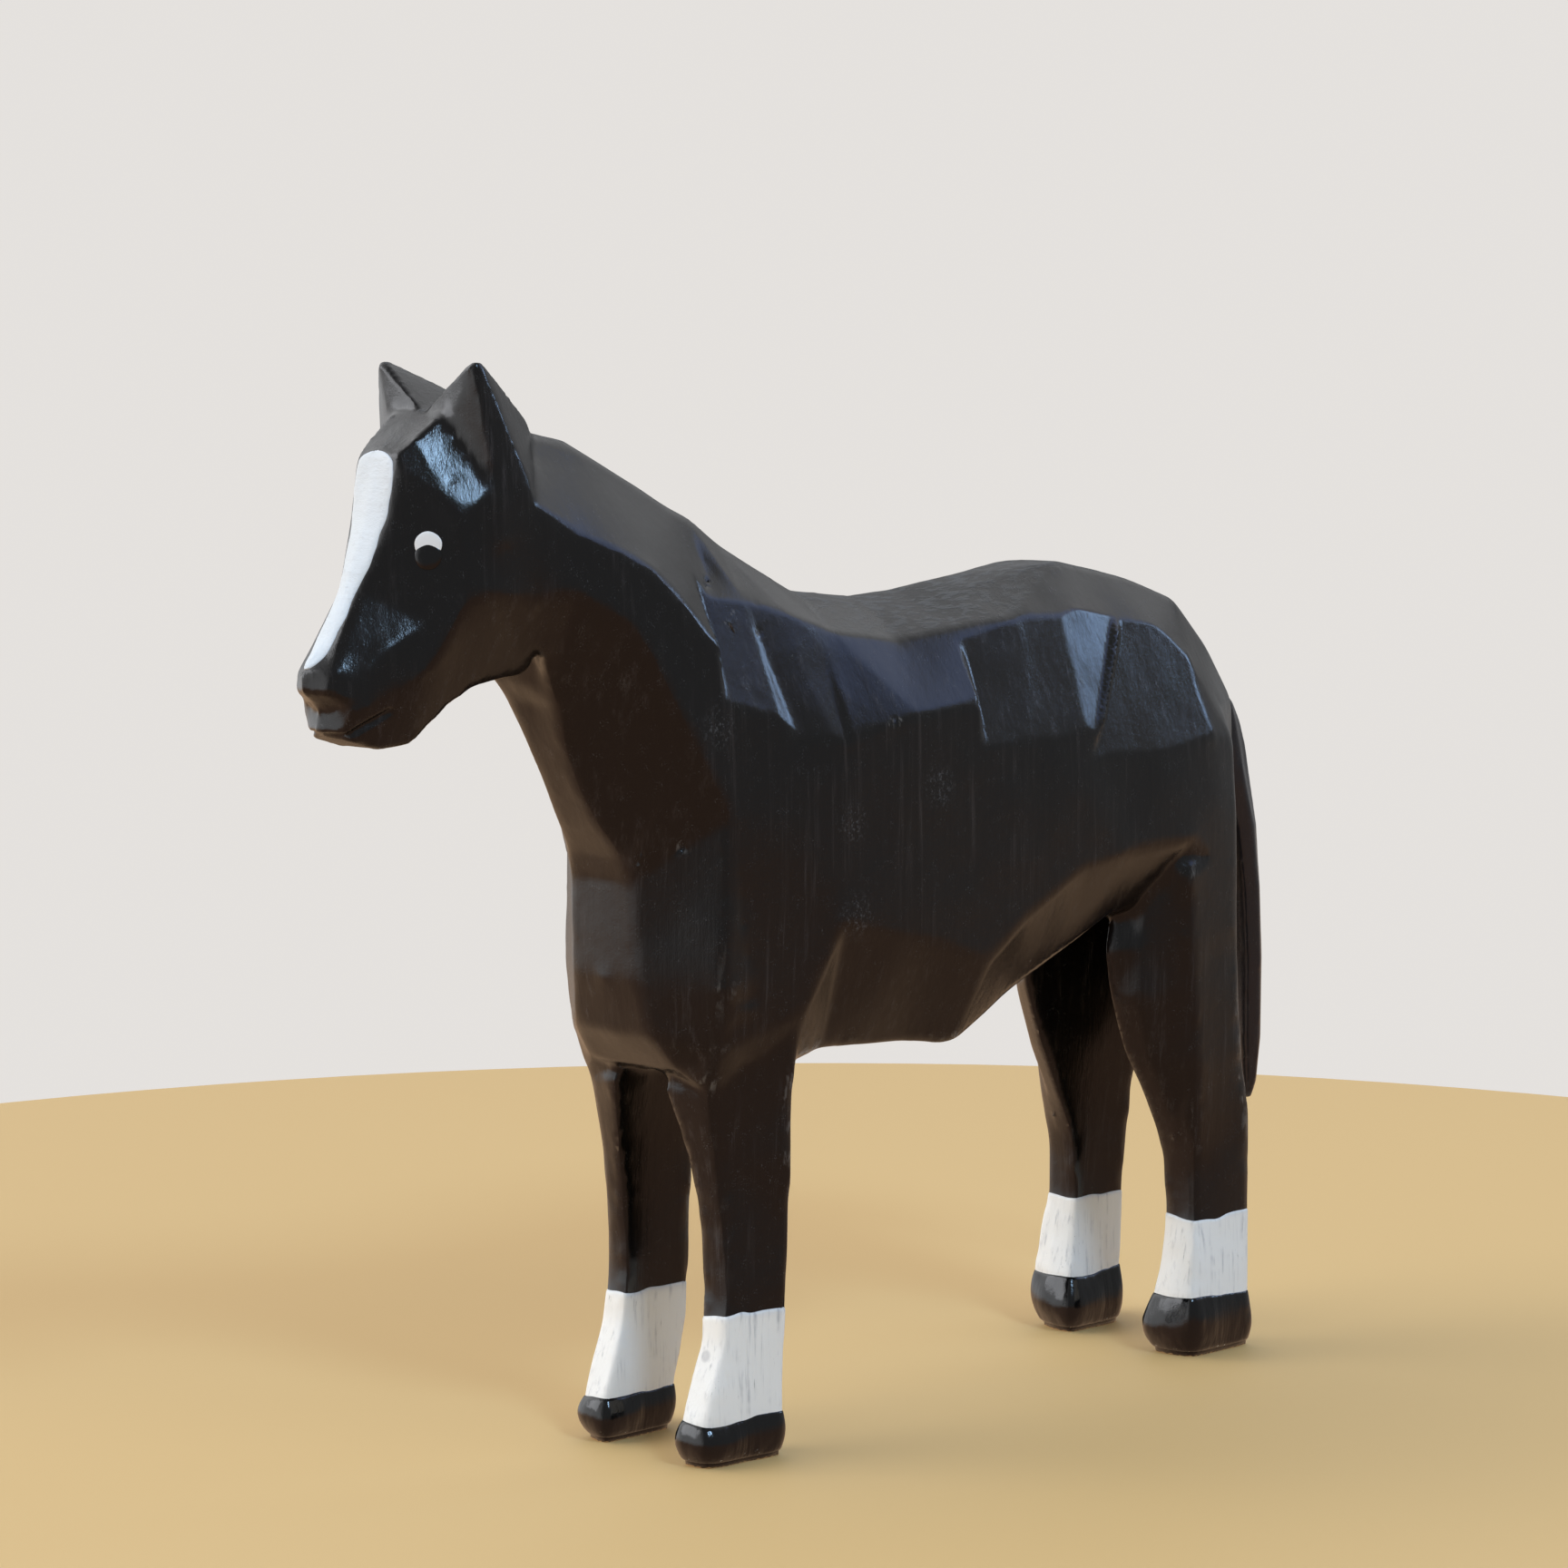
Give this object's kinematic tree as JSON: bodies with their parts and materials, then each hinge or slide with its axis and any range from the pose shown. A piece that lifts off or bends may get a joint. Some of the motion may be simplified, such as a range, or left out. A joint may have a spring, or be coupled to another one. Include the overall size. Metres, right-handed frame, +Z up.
{
  "type": "carved wooden horse figurine",
  "caption": "Hand-carved standing horse in faceted black-painted wood, with a white blaze, painted eyes, white socks and glossy black hooves; stands free on its four soles.",
  "frame": {"origin": "on the floor, under the middle of the horse's bounding box", "axes": "+Z up, the nose points to -Y, +X is the horse's left side"},
  "size_m": [0.0244, 0.125, 0.1],
  "materials": {
    "black_painted_wood": "satin black paint over knife-cut wood",
    "white_paint": "thin brushed white paint, satin",
    "gloss_black_paint": "thick gloss black paint",
    "dowel_wood": "bare turned dowel"
  },
  "bodies": {
    "root": {"blaze": "white_paint", "carved_body": "black_painted_wood", "eye_white_left": "white_paint", "eye_white_right": "white_paint", "hoof_fore_left": "gloss_black_paint", "hoof_fore_right": "gloss_black_paint", "hoof_hind_left": "gloss_black_paint", "hoof_hind_right": "gloss_black_paint", "pupil_left": "gloss_black_paint", "pupil_right": "gloss_black_paint", "sock_fore_left": "white_paint", "sock_fore_right": "white_paint", "sock_hind_left": "white_paint", "sock_hind_right": "white_paint", "tail": "black_painted_wood", "tail_peg": "dowel_wood"}
  },
  "joints": []
}
